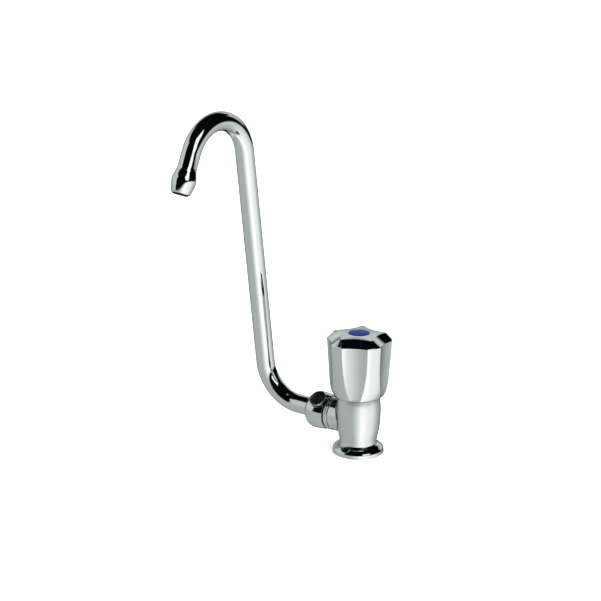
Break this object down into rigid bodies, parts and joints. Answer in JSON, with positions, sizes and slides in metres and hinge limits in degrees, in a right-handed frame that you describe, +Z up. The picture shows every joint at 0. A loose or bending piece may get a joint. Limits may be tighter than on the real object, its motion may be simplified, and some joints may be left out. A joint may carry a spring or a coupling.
{
  "type": "cold water tap",
  "caption": "Pillar tap with a lobed handle, a rounded foot and a tall hooked spout that folds down on a side swivel, with its under-worktop fixing.",
  "frame": {"origin": "on the tap's upright axis, in the plane of the foot's underside, where it sits on the worktop", "axes": "+Z up along the tap's axis; the side stub and the swivel point along -X; the spout's hook reaches towards -Y, and the spout folds down about the stub's axis"},
  "size_m": [0.1056, 0.1145, 0.2749],
  "materials": {
    "chrome_plate": "bright chrome plate on polished brass",
    "chrome_on_plastic": "bright chrome plate on moulded plastic, so it looks as the rest and weighs as plastic",
    "turned_brass": "as turned, faint tool lines",
    "bright_steel": "zinc plated, satin",
    "black_rubber": "matt moulded rubber",
    "fibre_seal": "red vulcanised fibre, dull",
    "black_plastic": "black moulded plastic, slightly glossy",
    "blue_plastic": "deep blue moulded plastic, glossy"
  },
  "bodies": {
    "tap": {"tap_body": "chrome_plate", "foot_seal": "black_rubber", "inlet_shank": "turned_brass", "clamp_washer_rubber": "black_rubber", "clamp_washer_steel": "bright_steel", "backnut": "turned_brass", "bonnet_seal": "fibre_seal", "valve_bonnet": "turned_brass", "swivel_spigot": "chrome_plate", "spigot_thread_seal": "black_rubber", "swivel_seal_outer": "black_rubber", "swivel_seal_inner": "black_rubber", "swivel_washer": "black_plastic"},
    "handle_and_spindle": {"handle": "chrome_on_plastic", "handle_screw": "bright_steel", "cold_indicator": "blue_plastic", "spindle": "turned_brass", "spindle_seal_lower": "black_rubber", "spindle_seal_upper": "black_rubber", "spindle_clip": "bright_steel"},
    "valve": {"valve_carrier": "turned_brass", "seat_washer": "black_rubber", "washer_screw": "turned_brass"},
    "spout": {"spout_knuckle": "chrome_plate", "retaining_screw": "chrome_plate", "spout_tube": "chrome_plate", "flow_straightener": "black_plastic"}
  },
  "joints": [
    {"name": "handle_turn", "type": "hinge", "parent": "tap", "child": "handle_and_spindle", "pos_m": [0, 0, 0], "axis": [0, 0, 1], "range_deg": [0, 540]},
    {"name": "valve_lift", "type": "slide", "parent": "tap", "child": "valve", "axis": [0, 0, 1], "range_m": [0, 0.003]},
    {"name": "spout_fold", "type": "hinge", "parent": "tap", "child": "spout", "pos_m": [0, 0, 0.0222], "axis": [-1, 0, 0], "range_deg": [-62, 97.8]}
  ],
  "couplings": [
    {"joint": "valve_lift", "follows": "handle_turn", "m_per_rad": 0.000318}
  ]
}
